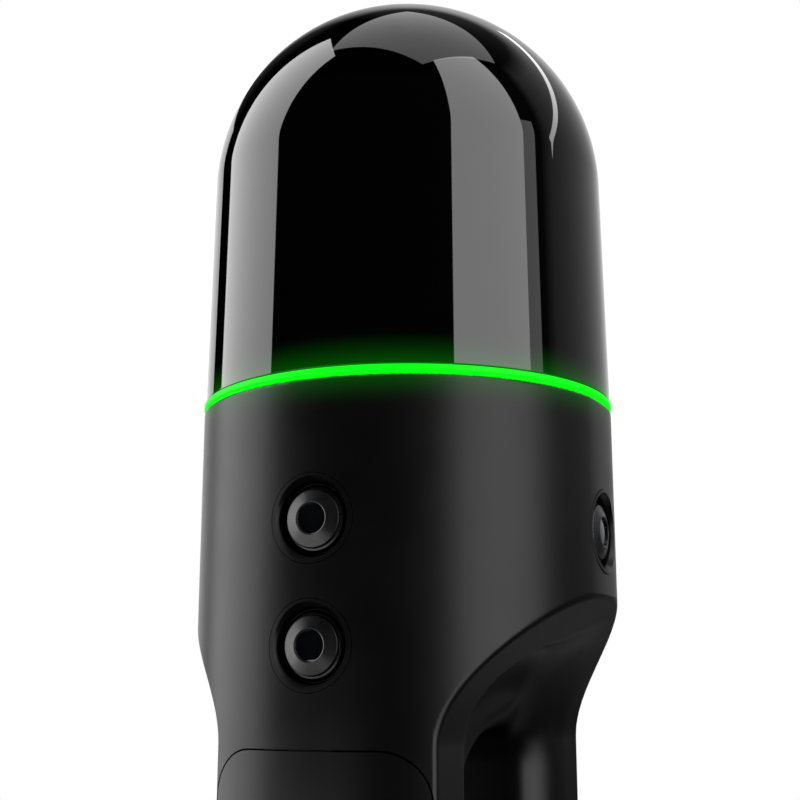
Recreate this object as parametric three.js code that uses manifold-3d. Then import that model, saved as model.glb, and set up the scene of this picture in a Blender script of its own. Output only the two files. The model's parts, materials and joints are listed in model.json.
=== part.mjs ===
// Handheld imaging laser scanner: a black anodised housing whose lower half is a
// two-column grip, with four cameras, a spinning scan head under a glossy dome and a
// green light ring between them. Millimetres, +Z up, the cameras look along -Y.
// The origin is the centre of the footprint, on the surface that the scanner stands on.

import * as THREE from "three";
import { mergeVertices } from "three/addons/utils/BufferGeometryUtils.js";
import Module from "manifold-3d";

const wasm = await Module();
wasm.setup();

// ---------------------------------------------------------------- driving dimensions

const BODY_RADIUS = 40;
const TOTAL_HEIGHT = 279;
const GAP = 0.3; // clearance between neighbouring pieces

const RING = { middle: 194.6, height: 1.5, inner: 37.6, outer: 40.1 };
const HOUSING = { bottom: 7.3, top: RING.middle - RING.height / 2 - GAP };
const DOME = { base: 39.85, shoulder: 39.2, straight: 44.7, wall: 2.5 };

// The waist: seen from the front, both sides sweep in from the full radius to two flat
// flanks. The sweep is an ellipse quarter in side view, so its edge on the skin is an arch.
const WAIST = { chord: 34.25, rise: 26, top: 131.6, bottom: 51, flare: 2.2 };
// The scooped pocket in each flank: an arch at both ends, and a floor that tilts outward
// to the rear. The finger slot runs through both floors.
const POCKET = { halfWidth: 24.1, rise: 17.6, floor: 18, floorFrom: -16, tilt: 0.16 };
const SLOT = { halfWidth: 15.5, top: 133.8, bottom: 48.8, frontCorner: 14, rearCorner: 8 };

const CHAMBER = { radius: 36.5, floor: 162, ledge: 151, neckX: 14.5, neckY: 33, neckFloor: 137.5 };
const COLUMN = { halfWidth: 15.5, front: 20.5, back: 38 }; // the hollow in the rear column
const BOSS_RADIUS = 4.5;
const DECK = { radius: 37.3, bottom: 189.9, top: 192.4 };
const DECK_HUB = { radius: 14.5, bore: 11.3, bottom: 187, top: 195.2 };
const DECK_SCREWS = { circle: 22, head: 194.5 };
const COLLAR = { inner: 33.5, outer: 36.9, bottom: 194, top: 199.5 };
const COLLAR_GROOVE = { radius: 35.8, bottom: 195.8, top: 197.8 };
const SHAFT = { radius: 5, bottom: 164.2, top: 197 };
const YOKE = { table: 28, tableTop: 200.5, cheekInner: 22, cheekOuter: 27, halfDepth: 9, above: 14 };
const MODULE_RADIUS = 8; // the mirror's motor and the laser module
const MIRROR = { height: 236, radius: 12, axle: 2.5 };

// Radii of a camera's pieces, and how far from the housing's axis each one lies.
const CAMERA = { bore: 7.8, bezel: 7.5, bezelBore: 5.9, lip: 6.9, barrel: 5.5, rim: 4.95, glass: 2.4 };
const CAMERA_STACK = {
  sensor: [23.4, 27.6],
  barrel: [28, 38.3],
  bezel: [33, 37.4],
  rimTop: 38.9,
  faceTop: 39.6,
  glass: [37.4, 39.3],
};
const CAMERAS = [
  { name: "front_upper", azimuth: 0, height: 169.3 },
  { name: "front_lower", azimuth: 0, height: 148.1 },
  { name: "right", azimuth: 90, height: 169.3 },
  { name: "left", azimuth: -90, height: 169.3 },
];

const BUTTON = { height: 150, radius: 6, flange: 7, flangeBack: 35.4, flangeFront: 36.4, face: 40 };

// The battery door is a panel of the skin over the front column, hinged at its lower end.
const DOOR = { halfWidth: 19.95, top: 131.1, bottom: 19.6, corner: 8, inner: 37.4 };
// Its hinge barrel lies in a notch below the panel, so that the panel swings clear of the skin.
const HINGE = { y: -37.9, z: 17.4, pin: 0.9, barrel: 1.9, halfLength: 9.8, lugInner: 7.3 };
const NOTCH = { back: -35.5, bottom: 15, top: 19.9 };
const SEAL = { halfWidth: 18.9, bottom: 26.9, top: 130.1, width: 1.4, inner: 36.3, outer: 37.05 };
const BAY = { halfWidth: 16.3, front: -37.5, back: -18.5, bottom: 31, top: 127.5 };
const BATTERY = { halfWidth: 15.7, front: -34, back: -19, bottom: 31.5, top: 121 };
const CATCH = {
  halfWidth: 4,
  front: -35.6,
  back: -26,
  lipBack: -34.3,
  lipBottom: 117,
  bottom: 121.4,
  top: 122.6,
};
const LATCH = { halfWidth: 4, front: -38.7, back: -37.6, bottom: 108, top: 134.6 };
const LATCH_TAB = { halfWidth: 3.2, bottom: 110, top: 117.6, travel: 3.6, grooves: [111.6, 113.4, 115.2] };

const BUTTON_SEAL = { inner: 6.35, outer: 7.3, back: 36.75, front: 37.4 };
const PORT = { x: [-14, -5], y: [-32, -28.4], bottom: 127.8, top: 134.4, wall: 0.6 };

const BASE = { bottom: 0.8, top: 7, plate: 4.4, screwCircle: 24, head: 3.3, headRoom: 3.5, hole: 1.6 };
const FOOT = { inner: 27.8, outer: 36.2, top: 2 };

const FINE = 48; // segments round the housing and dome
const MEDIUM = 20; // segments round parts of 10 to 40 mm
const COARSE = 10; // segments round fasteners and small lenses

// ---------------------------------------------------------------- finishes

const LOOKS = {
  anodised: [0x17171a, 0.42, 0.6],
  dome: [0x050506, 0.04, 0],
  glow: [0x10ff18, 0.4, 0],
  rubber: [0x101010, 0.85, 0],
  plastic: [0x1a1a1c, 0.55, 0],
  steel: [0xb4b7ba, 0.3, 1],
  blackSteel: [0x202022, 0.4, 0.9],
  aluminium: [0xa9acb0, 0.35, 1],
  board: [0x14482a, 0.5, 0],
  copper: [0xb36b3a, 0.35, 1],
  glass: [0x0a1018, 0.03, 0],
  mirror: [0xe6d9b0, 0.04, 1],
  battery: [0x26282b, 0.5, 0],
  ribbon: [0xc98a3a, 0.5, 0],
};

// ---------------------------------------------------------------- solids

// A closed solid with merged corners, no collapsed triangles and its faces outward.
function closed(geometry) {
  let plain = geometry.index ? geometry.clone() : mergeVertices(geometry);
  plain.deleteAttribute("normal");
  plain.deleteAttribute("uv");
  plain = mergeVertices(plain, 1e-4);
  const index = plain.index.array;
  const kept = [];
  for (let i = 0; i < index.length; i += 3) {
    const [a, b, c] = [index[i], index[i + 1], index[i + 2]];
    if (a !== b && b !== c && c !== a) kept.push(a, b, c);
  }
  plain.setIndex(kept);
  if (signedVolume(plain) < 0) {
    plain.setIndex(kept.map((v, i) => kept[i - (i % 3) + 2 - (i % 3)]));
  }
  return plain;
}

function signedVolume(geometry) {
  const position = geometry.attributes.position;
  const index = geometry.index.array;
  const [a, b, c] = [new THREE.Vector3(), new THREE.Vector3(), new THREE.Vector3()];
  let volume = 0;
  for (let i = 0; i < index.length; i += 3) {
    a.fromBufferAttribute(position, index[i]);
    b.fromBufferAttribute(position, index[i + 1]);
    c.fromBufferAttribute(position, index[i + 2]);
    volume += a.dot(b.cross(c)) / 6;
  }
  return volume;
}

function solid(geometry) {
  const plain = closed(geometry);
  return new wasm.Manifold(
    new wasm.Mesh({
      numProp: 3,
      vertProperties: new Float32Array(plain.attributes.position.array),
      triVerts: new Uint32Array(plain.index.array),
    }),
  );
}

function geometryOf(manifold) {
  const mesh = manifold.getMesh();
  const geometry = new THREE.BufferGeometry();
  geometry.setAttribute("position", new THREE.BufferAttribute(mesh.vertProperties, 3));
  geometry.setIndex(Array.from(mesh.triVerts));
  return geometry;
}

const cut = (body, ...tools) => tools.reduce((rest, tool) => rest.subtract(solid(tool)), body);
const join = (body, ...more) => more.reduce((sum, piece) => sum.add(solid(piece)), body);

// ---------------------------------------------------------------- shapes

function box([x0, x1], [y0, y1], [z0, z1]) {
  const geometry = new THREE.BoxGeometry(x1 - x0, y1 - y0, z1 - z0);
  return geometry.translate((x0 + x1) / 2, (y0 + y1) / 2, (z0 + z1) / 2);
}

// A turned solid about Z: the profile is a list of [radius, height].
function turned(profile, segments = MEDIUM) {
  const points = profile.map(([radius, height]) => new THREE.Vector2(radius, height));
  return new THREE.LatheGeometry(points, segments).rotateX(Math.PI / 2);
}

function rod(radius, z0, z1, segments = MEDIUM) {
  return turned([[0, z0], [radius, z0], [radius, z1], [0, z1]], segments);
}

function tube(inner, outer, z0, z1, segments = MEDIUM) {
  return turned([[inner, z0], [outer, z0], [outer, z1], [inner, z1], [inner, z0]], segments);
}

// A rod along X through (y, z).
function crossRod(radius, [x0, x1], y, z, segments = COARSE) {
  return rod(radius, x0, x1, segments).rotateY(Math.PI / 2).translate(0, y, z);
}

function extrusion(shape, depth, steps = 1) {
  return new THREE.ExtrudeGeometry(shape, { depth, steps, bevelEnabled: false, curveSegments: 4 });
}

// A shape drawn in X and Z, extruded along Y.
function alongY(shape, [y0, y1], steps = 1) {
  return extrusion(shape, y1 - y0, steps).rotateX(Math.PI / 2).translate(0, y1, 0);
}

// A shape drawn in Y and Z, extruded along X.
function alongX(shape, [x0, x1]) {
  const turn = new THREE.Matrix4().makeBasis(
    new THREE.Vector3(0, 1, 0),
    new THREE.Vector3(0, 0, 1),
    new THREE.Vector3(1, 0, 0),
  );
  return extrusion(shape, x1 - x0).applyMatrix4(turn).translate(x0, 0, 0);
}

// A rectangle with round corners: one radius at its low first coordinate, one at its high.
function roundedRectangle([x0, x1], [y0, y1], low, high = low) {
  const shape = new THREE.Shape();
  shape.moveTo(x0 + low, y0);
  shape.lineTo(x1 - high, y0);
  shape.absarc(x1 - high, y0 + high, high, -Math.PI / 2, 0);
  shape.lineTo(x1, y1 - high);
  shape.absarc(x1 - high, y1 - high, high, 0, Math.PI / 2);
  shape.lineTo(x0 + low, y1);
  shape.absarc(x0 + low, y1 - low, low, Math.PI / 2, Math.PI);
  shape.lineTo(x0, y0 + low);
  shape.absarc(x0 + low, y0 + low, low, Math.PI, 1.5 * Math.PI);
  return shape;
}

// ---------------------------------------------------------------- housing

// Half the housing's width at a height: the flank, or the sweep out to the full radius.
function waistHalfWidth(z) {
  const above = Math.max(z - WAIST.top, WAIST.bottom - z, 0);
  const chord = WAIST.chord * Math.sqrt(Math.max(1 - (above / WAIST.rise) ** 2, 0));
  return Math.sqrt(BODY_RADIUS ** 2 - chord ** 2);
}

// What is cut from one side (+1 right, -1 left) to leave the waist. Towards the back the
// flank flares outward, for the palm.
function waistCut(side) {
  const shape = new THREE.Shape();
  const steps = 8;
  const outside = BODY_RADIUS + 5;
  shape.moveTo(outside, WAIST.bottom - WAIST.rise);
  for (let i = 1; i <= steps; i += 1) {
    const z = WAIST.bottom - WAIST.rise * Math.cos((i / steps) * (Math.PI / 2));
    shape.lineTo(waistHalfWidth(z), z);
  }
  for (let i = steps; i >= 1; i -= 1) {
    const z = WAIST.top + WAIST.rise * Math.cos((i / steps) * (Math.PI / 2));
    shape.lineTo(waistHalfWidth(z), z);
  }
  shape.lineTo(outside, WAIST.top + WAIST.rise);
  const geometry = alongY(shape, [-42, 42], 8);
  const position = geometry.attributes.position;
  for (let i = 0; i < position.count; i += 1) {
    const backward = Math.max(position.getY(i), 0) / 32;
    position.setX(i, side * (position.getX(i) + WAIST.flare * backward ** 2));
  }
  return geometry;
}

// The pocket's outline in Y and Z: straight sides with half an ellipse at each end.
function pocketShape() {
  const { halfWidth, rise } = POCKET;
  const shape = new THREE.Shape();
  shape.absellipse(0, WAIST.top, halfWidth, rise, 0, Math.PI);
  shape.absellipse(0, WAIST.bottom, halfWidth, rise, Math.PI, 2 * Math.PI);
  return shape;
}

// What is cut from one side (+1 right, -1 left) to leave the pocket.
function pocketCut(side) {
  const geometry = alongX(pocketShape(), [0, BODY_RADIUS + 5]);
  const position = geometry.attributes.position;
  for (let i = 0; i < position.count; i += 1) {
    const floor = POCKET.floor + POCKET.tilt * (position.getY(i) - POCKET.floorFrom);
    position.setX(i, side * (position.getX(i) || floor));
  }
  return geometry;
}

function gripCuts() {
  const { halfWidth, bottom, top, frontCorner, rearCorner } = SLOT;
  const slot = roundedRectangle([-halfWidth, halfWidth], [bottom, top], frontCorner, rearCorner);
  const through = alongX(slot, [-BODY_RADIUS - 5, BODY_RADIUS + 5]);
  return [waistCut(1), waistCut(-1), pocketCut(1), pocketCut(-1), through];
}

const within = (shape, limit) => geometryOf(solid(shape).intersect(solid(rod(limit, 0, 200, FINE))));

// The hollow inside: a round electronics chamber with a neck below it, the rear column
// and the base chamber, one space from the deck to the base cap.
function chamberCuts() {
  const { radius, floor, ledge, neckX, neckY, neckFloor } = CHAMBER;
  const { halfWidth, front, back } = COLUMN;
  const across = [-halfWidth, halfWidth];
  return [
    rod(radius, floor, HOUSING.top + 5, FINE),
    within(box([-28, 28], [-neckY + 0.5, neckY - 0.5], [ledge, floor + 1]), radius - 0.3),
    box([-neckX, neckX], [-neckY, neckY], [neckFloor, ledge + 1]),
    rod(DECK.radius + GAP, DECK.bottom - GAP, HOUSING.top + 5, FINE),
    within(box(across, [front, back], [BASE.top - 1, neckFloor + 3]), 37),
    within(box(across, [-22, back], [BASE.top - 1, 44]), 36.8),
    ...skirtCuts(),
  ];
}

// The lower end is hollowed to a thin wall, around the bosses for the base screws.
function skirtCuts() {
  const bosses = screwPlaces().map(([x, y]) => rod(BOSS_RADIUS, 0, 40, COARSE).translate(x, y, 0));
  const skirt = solid(rod(36, BASE.top - 1, 22, FINE));
  const underBay = solid(within(box([-27, 27], [-21, 30], [19, BAY.bottom - 0.5]), 36.4));
  const frontWall = box([-45, 45], [-45, -24], [0, 30]);
  return [geometryOf(cut(skirt, frontWall, ...bosses)), geometryOf(cut(underBay, ...bosses))];
}

function circlePlaces(radius, degrees) {
  const angles = degrees.map(THREE.MathUtils.degToRad);
  return angles.map((angle) => [radius * Math.cos(angle), radius * Math.sin(angle)]);
}

function screwPlaces() {
  return circlePlaces(BASE.screwCircle, [45, 135, 225, 315]);
}

// A patch of a round shell about Z, seen from the front as an outline in X and Z.
function skinPatch(outline, inner, outer) {
  return solid(alongY(outline, [-45, -20])).intersect(solid(tube(inner, outer, 0, 200, FINE)));
}

// The door's opening in the skin, the notch for its hinge, the bay behind it, and the
// rooms that open off the bay for the seal, the latch's tongue and the port.
function doorCuts() {
  const wide = DOOR.halfWidth + GAP;
  const outline = [[-wide, wide], [DOOR.bottom - GAP, DOOR.top + GAP]];
  const opening = roundedRectangle(...outline, DOOR.corner + GAP);
  const notchWide = HINGE.halfLength + GAP;
  const tongueWide = LATCH.halfWidth + 0.4;
  const { x, y, top } = PORT;
  return [
    geometryOf(skinPatch(opening, DOOR.inner - GAP, BODY_RADIUS + 5)),
    box([-notchWide, notchWide], [-45, NOTCH.back], [NOTCH.bottom, NOTCH.top]),
    box([-BAY.halfWidth, BAY.halfWidth], [BAY.front, BAY.back], [BAY.bottom, BAY.top]),
    geometryOf(sealFrame(GAP)),
    box([-tongueWide, tongueWide], [LATCH.front - GAP, LATCH.back + GAP], [DOOR.top, LATCH.top + 1.9]),
    box([x[0] - GAP, x[1] + GAP], [y[0] - GAP, y[1] + GAP], [BAY.top - 1, top + 0.4]),
  ];
}

// The housing's two hinge lugs, which carry the ends of the pin.
function hingeLugs() {
  const { y, z, barrel, lugInner, halfLength } = HINGE;
  const spans = [[lugInner, halfLength], [-halfLength, -lugInner]];
  return spans.flatMap((span) => [
    crossRod(barrel, span, y, z, MEDIUM),
    box(span, [y, NOTCH.back + 1], [z - barrel, z + barrel]),
  ]);
}

function buttonCuts() {
  const { height, radius, flange } = BUTTON;
  const through = rod(radius + GAP, 30, 45);
  const shoulder = rod(flange + 0.5, 30, BUTTON_SEAL.front + GAP);
  return [through, shoulder].map((bore) => bore.rotateX(-Math.PI / 2).translate(0, 0, height));
}

function cameraBore({ azimuth, height }) {
  const bore = rod(CAMERA.bore, 30, 45, MEDIUM).rotateX(Math.PI / 2);
  return bore.rotateZ(THREE.MathUtils.degToRad(azimuth)).translate(0, 0, height);
}

function mainHousing() {
  const blank = solid(rod(BODY_RADIUS, HOUSING.bottom, HOUSING.top, FINE));
  const hollowed = cut(blank, ...gripCuts(), ...chamberCuts(), ...doorCuts(), ...buttonCuts());
  const bored = cut(hollowed, ...CAMERAS.map(cameraBore));
  const lugged = join(bored, ...hingeLugs());
  const screwHoles = screwPlaces().map(([x, y]) => rod(BASE.hole, 0, 16, COARSE).translate(x, y, 0));
  const reach = HINGE.halfLength + 0.6;
  const pinHole = crossRod(HINGE.pin + GAP, [-reach, reach], HINGE.y, HINGE.z);
  return geometryOf(cut(lugged, ...screwHoles, pinHole));
}

// ---------------------------------------------------------------- base

// A shallow dish: a ring outside and one round the screws stand up from its plate, and a
// groove underneath holds the foot ring.
function baseCap() {
  const { bottom, top, plate, head, headRoom, hole } = BASE;
  const groove = [FOOT.inner - GAP, FOOT.outer + GAP];
  const roof = FOOT.top + GAP;
  const profile = [
    [0, plate],
    [19, plate],
    [19, top],
    [29, top],
    [29, plate],
    [35.5, plate],
    [35.5, top],
    [BODY_RADIUS, top],
    [BODY_RADIUS, bottom + 2],
    [BODY_RADIUS - 0.6, bottom + 0.6],
    [BODY_RADIUS - 2, bottom],
    [groove[1], bottom],
    [groove[1], roof],
    [groove[0], roof],
    [groove[0], bottom],
    [0, bottom],
  ];
  const heads = screwPlaces().map(([x, y]) => rod(head, 0, headRoom, COARSE).translate(x, y, 0));
  const shanks = screwPlaces().map(([x, y]) => rod(hole, 0, 10, COARSE).translate(x, y, 0));
  return geometryOf(cut(solid(turned(profile, FINE)), ...heads, ...shanks));
}

// A pan-head screw pointing up, its head at the bottom, with a hexagon socket.
function screw(headRadius, headHeight, shankRadius, length) {
  const profile = [
    [0, 0],
    [headRadius - 0.3, 0],
    [headRadius, 0.3],
    [headRadius, headHeight],
    [shankRadius, headHeight],
    [shankRadius, length],
    [0, length],
  ];
  const socket = rod(headRadius * 0.5, -1, headHeight * 0.6, 6);
  return geometryOf(cut(solid(turned(profile, COARSE)), socket));
}

// ---------------------------------------------------------------- dome and deck

// Points of the dome's outline, moved inward by a wall thickness, from the apex down.
function domeOutline(inset, rows) {
  const base = RING.middle + RING.height / 2 + GAP;
  const shoulderHeight = base + DOME.straight;
  const capHeight = TOTAL_HEIGHT - shoulderHeight - inset;
  const points = [];
  for (let i = 0; i <= rows; i += 1) {
    const angle = (i / rows) * (Math.PI / 2);
    const radius = (DOME.shoulder - inset) * Math.sin(angle);
    points.push([i === 0 ? 0 : radius, shoulderHeight + capHeight * Math.cos(angle)]);
  }
  points.push([DOME.base - inset, base]);
  return points;
}

function dome() {
  const outer = domeOutline(0, 10);
  const inner = domeOutline(DOME.wall, 7).reverse();
  return turned([...outer, ...inner], FINE);
}

function deckPlate() {
  const { radius, bottom, top } = DECK;
  const hub = DECK_HUB;
  const profile = [
    [hub.bore, hub.bottom],
    [hub.radius, hub.bottom],
    [hub.radius, bottom],
    [radius, bottom],
    [radius, top],
    [hub.radius, top],
    [hub.radius, hub.top],
    [hub.bore, hub.top],
    [hub.bore, hub.bottom],
  ];
  const holes = deckScrewPlaces().map(([x, y]) => rod(BASE.hole, 180, 200, COARSE).translate(x, y, 0));
  return geometryOf(cut(solid(turned(profile, FINE)), ...holes));
}

function deckScrewPlaces() {
  return circlePlaces(DECK_SCREWS.circle, [90, 210, 330]);
}

// The collar that carries the dome, with a groove for its seal.
function domeCollar() {
  const { inner, outer, bottom, top } = COLLAR;
  const groove = COLLAR_GROOVE;
  const profile = [
    [inner, bottom],
    [outer, bottom],
    [outer, groove.bottom],
    [groove.radius, groove.bottom],
    [groove.radius, groove.top],
    [outer, groove.top],
    [outer, top],
    [inner, top],
    [inner, bottom],
  ];
  return turned(profile, FINE);
}

// An oval gasket that fills the collar's groove and touches the dome.
function domeSeal() {
  const sides = 6;
  const middle = (COLLAR_GROOVE.bottom + COLLAR_GROOVE.top) / 2;
  const points = [...Array(sides).keys()].map((i) => {
    const angle = (i / sides) * 2 * Math.PI;
    return [36.6 + 0.45 * Math.cos(angle), middle + 0.65 * Math.sin(angle)];
  });
  return turned([...points, points[0]], FINE);
}

// ---------------------------------------------------------------- cameras

// Each camera is drawn about its own axis, which runs outward along +Z from the middle
// of the housing, so heights here are distances from the housing's axis.

// The bezel's front follows the skin, and flares in to a round lip.
function cameraBezel() {
  const { bezel, bezelBore, lip } = CAMERA;
  const [back, inside] = CAMERA_STACK.bezel;
  const front = BODY_RADIUS + 2;
  const profile = [
    [bezelBore, back],
    [bezel, back],
    [bezel, front],
    [lip + 0.3, front],
    [lip, BODY_RADIUS - 0.5],
    [lip - 0.5, inside + 1],
    [bezelBore, inside],
    [bezelBore, back],
  ];
  const skin = rod(BODY_RADIUS - 0.05, -10, 10, FINE).rotateX(Math.PI / 2);
  return geometryOf(solid(turned(profile)).intersect(solid(skin)));
}

// The barrel's face is a low cone round the glass.
function cameraBarrel() {
  const { barrel, rim, glass } = CAMERA;
  const { barrel: [back, shoulder], rimTop, faceTop } = CAMERA_STACK;
  const seat = CAMERA_STACK.glass[0] - 0.2;
  return turned([
    [0, back],
    [barrel, back],
    [barrel, shoulder],
    [rim, shoulder],
    [rim, rimTop],
    [glass + GAP, faceTop],
    [glass + GAP, seat],
    [0, seat],
  ]);
}

function cameraGlass() {
  const { glass } = CAMERA;
  const [back, front] = CAMERA_STACK.glass;
  const rows = 4;
  const rise = 0.3;
  const face = [...Array(rows + 1).keys()].map((i) => {
    const radius = glass * (1 - i / rows);
    return [radius, front - rise * (radius / glass) ** 2];
  });
  return turned([[0, back], [glass, back], ...face], COARSE);
}

const cameraSensor = () => box([-6, 6], [-6, 6], CAMERA_STACK.sensor);

// ---------------------------------------------------------------- battery door and bay

// The door's panel with its hinge knuckle, the latch's channel and a window for its tab.
function batteryDoor() {
  const { halfWidth, top, bottom, corner, inner } = DOOR;
  const outline = roundedRectangle([-halfWidth, halfWidth], [bottom, top], corner);
  const knuckle = [-HINGE.lugInner + GAP, HINGE.lugInner - GAP];
  const hinged = join(
    skinPatch(outline, inner, BODY_RADIUS),
    box(knuckle, [HINGE.y - 1.5, HINGE.y + 0.4], [HINGE.z, bottom + 1.5]),
    crossRod(HINGE.barrel, knuckle, HINGE.y, HINGE.z, MEDIUM),
  );
  const pinHole = crossRod(HINGE.pin + GAP, [-HINGE.lugInner, HINGE.lugInner], HINGE.y, HINGE.z);
  const channelWide = LATCH.halfWidth + GAP;
  const channel = [LATCH.bottom - LATCH_TAB.travel - GAP, top + 2];
  const windowWide = LATCH_TAB.halfWidth + GAP;
  const window = [LATCH_TAB.bottom - LATCH_TAB.travel - GAP, LATCH_TAB.top + GAP];
  return geometryOf(
    cut(
      hinged,
      pinHole,
      box([-channelWide, channelWide], [LATCH.front - GAP, -30], channel),
      box([-windowWide, windowWide], [-45, -30], window),
    ),
  );
}

// The latch: a tongue in the door's channel and the tab that slides it down.
function doorLatch() {
  const { halfWidth, front, back, bottom, top } = LATCH;
  const { halfWidth: wide, bottom: low, top: high, grooves } = LATCH_TAB;
  const block = box([-wide, wide], [-45, front + 0.4], [low, high]);
  const tab = solid(within(block, BODY_RADIUS - 0.1));
  const tongue = solid(box([-halfWidth, halfWidth], [front, back], [bottom, top]));
  const grips = grooves.map((z) => box([-5, 5], [-45, -39.4], [z, z + 0.8]));
  return geometryOf(cut(tongue.add(tab), ...grips));
}

// The door's gasket, a rounded frame that follows the skin, grown for its groove.
function sealFrame(grow = 0) {
  const { halfWidth, bottom, top, width, inner, outer } = SEAL;
  const outline = roundedRectangle(
    [-halfWidth - grow, halfWidth + grow],
    [bottom - grow, top + grow],
    4.2,
  );
  const hollow = halfWidth - width - grow;
  const heights = [bottom + width + grow, top - width - grow];
  outline.holes.push(roundedRectangle([-hollow, hollow], heights, 3));
  return skinPatch(outline, inner - grow, outer + grow);
}

function batteryPack() {
  const { halfWidth, front, back, bottom, top } = BATTERY;
  const section = roundedRectangle([-halfWidth, halfWidth], [front, back], 3);
  return extrusion(section, top - bottom).translate(0, 0, bottom);
}

// The catch over the battery's front edge: a plate with a lip, which slides up to let go.
function batteryCatch() {
  const { halfWidth, front, back, lipBack, lipBottom, bottom, top } = CATCH;
  const plate = solid(box([-halfWidth, halfWidth], [front, back], [bottom, top]));
  return geometryOf(join(plate, box([-halfWidth, halfWidth], [front, lipBack], [lipBottom, bottom + 0.6])));
}

function usbPort() {
  const { x, y, bottom, top, wall } = PORT;
  const shell = solid(box(x, y, [bottom, top]));
  const inside = [x, y].map(([low, high]) => [low + wall, high - wall]);
  return geometryOf(cut(shell, box(...inside, [bottom - 5, top - 1])));
}

// ---------------------------------------------------------------- power button

function powerButton() {
  const { radius, flange, flangeBack, flangeFront, face } = BUTTON;
  return turned([
    [0, flangeBack],
    [flange, flangeBack],
    [flange, flangeFront],
    [radius, flangeFront],
    [radius, face - 0.8],
    [radius - 0.7, face - 0.2],
    [0, face],
  ]);
}

// A tactile switch on a bracket across the neck.
function buttonSwitch() {
  const bracket = solid(box([-14.2, 14.2], [-6.5, 6.5], [29.6, 31]));
  return geometryOf(join(bracket, box([-3, 3], [-3, 3], [30.5, 33]), rod(1.5, 32, 34.3, COARSE)));
}

// ---------------------------------------------------------------- scan head

// The yoke: a shaft, a round table on it, and two cheeks that carry the mirror's motor
// and the laser.
function turretYoke() {
  const { radius, bottom, top } = SHAFT;
  const { table, tableTop, cheekInner, cheekOuter, halfDepth, above } = YOKE;
  const profile = [
    [0, bottom],
    [radius, bottom],
    [radius, top],
    [table, top],
    [table, tableTop],
    [0, tableTop],
  ];
  const cheek = roundedRectangle([-halfDepth, halfDepth], [top + 1, MIRROR.height + above], 8);
  const joined = join(
    solid(turned(profile)),
    alongX(cheek, [cheekInner, cheekOuter]),
    alongX(cheek, [-cheekOuter, -cheekInner]),
  );
  return geometryOf(cut(joined, crossRod(MODULE_RADIUS + GAP, [-35, 35], 0, MIRROR.height, MEDIUM)));
}

function mirrorMotor() {
  const can = solid(crossRod(MODULE_RADIUS, [-33, -19], 0, MIRROR.height, MEDIUM));
  return geometryOf(cut(can, crossRod(MIRROR.axle + GAP, [-28, -10], 0, MIRROR.height)));
}

function laserModule() {
  const housing = solid(crossRod(MODULE_RADIUS, [16, 33], 0, MIRROR.height, MEDIUM));
  return geometryOf(cut(housing, crossRod(5.5, [10, 18], 0, MIRROR.height, COARSE)));
}

// The half-space beyond the 45 degree mirror plane, offset along its normal.
function beyondMirror(offset, depth) {
  const slab = new THREE.BoxGeometry(60, 60, depth).translate(0, 0, depth / 2 + offset);
  return slab.rotateY(Math.PI / 4).translate(-2, 0, MIRROR.height);
}

function mirrorHub() {
  const hub = solid(crossRod(MIRROR.radius, [-18, 14], 0, MIRROR.height, MEDIUM));
  const faced = cut(hub, beyondMirror(0, 40));
  return geometryOf(join(faced, crossRod(MIRROR.axle, [-27, -16], 0, MIRROR.height)));
}

function scanMirror() {
  const round = solid(crossRod(MIRROR.radius, [-18, 16], 0, MIRROR.height, MEDIUM));
  return geometryOf(round.intersect(solid(beyondMirror(GAP, 1.5))));
}

// ---------------------------------------------------------------- electronics

function boardRibbon() {
  const side = new THREE.Shape();
  side.moveTo(9.9, 160.4);
  side.bezierCurveTo(9.9, 162.4, 18.6, 160.4, 18.6, 162.6);
  side.lineTo(19, 162.6);
  side.bezierCurveTo(19, 159.9, 10.4, 162, 10.4, 160.4);
  return alongX(side, [-6, 6]);
}

// ---------------------------------------------------------------- assembly

const scanner = new THREE.Group();

function add(name, geometry, look, parent = scanner) {
  const [color, roughness, metalness] = LOOKS[look];
  const material = new THREE.MeshStandardMaterial({ color, roughness, metalness });
  const mesh = new THREE.Mesh(closed(geometry), material);
  mesh.name = name;
  parent.add(mesh);
  return mesh;
}

// A group whose +Z runs radially outward at an azimuth from the front, at a height.
function outward(azimuth, height) {
  const around = new THREE.Group();
  around.rotation.z = THREE.MathUtils.degToRad(azimuth);
  around.position.z = height;
  const axis = new THREE.Group();
  axis.rotation.x = Math.PI / 2;
  around.add(axis);
  scanner.add(around);
  return axis;
}

function addShell() {
  add("main_housing", mainHousing(), "anodised");
  add("base_cap", baseCap(), "anodised");
  add("foot_ring", tube(FOOT.inner, FOOT.outer, 0, FOOT.top, FINE), "rubber");
  screwPlaces().forEach(([x, y], i) => {
    add(`base_screw_${i + 1}`, screw(3, 2, 1.3, 12), "blackSteel").position.set(x, y, 1.2);
  });
}

function addDome() {
  const ringBottom = RING.middle - RING.height / 2;
  add("dome", dome(), "dome");
  add("dome_collar", domeCollar(), "aluminium");
  add("dome_seal", domeSeal(), "rubber");
  add("light_ring", tube(RING.inner, RING.outer, ringBottom, ringBottom + RING.height, FINE), "glow");
  add("led_board", tube(33, 37.2, 192.7, 193.7, FINE), "board");
}

function addDeck() {
  add("deck_plate", deckPlate(), "aluminium");
  deckScrewPlaces().forEach(([x, y], i) => {
    const fastener = add(`deck_screw_${i + 1}`, screw(2.6, 1.8, 1.3, 8), "steel");
    fastener.rotation.x = Math.PI;
    fastener.position.set(x, y, DECK_SCREWS.head);
  });
  add("bearing_outer_race", tube(9.1, 11, 188, 194.6), "steel");
  add("motor_stator", tube(9.6, 15.5, 177, 186.7), "copper");
  add("encoder_reader", box([9.2, 17], [-3, 3], [172.4, 174.4]), "plastic");
  add("slip_ring_stator", tube(5.6, 8.4, 164.5, 171.5), "plastic");
}

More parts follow.
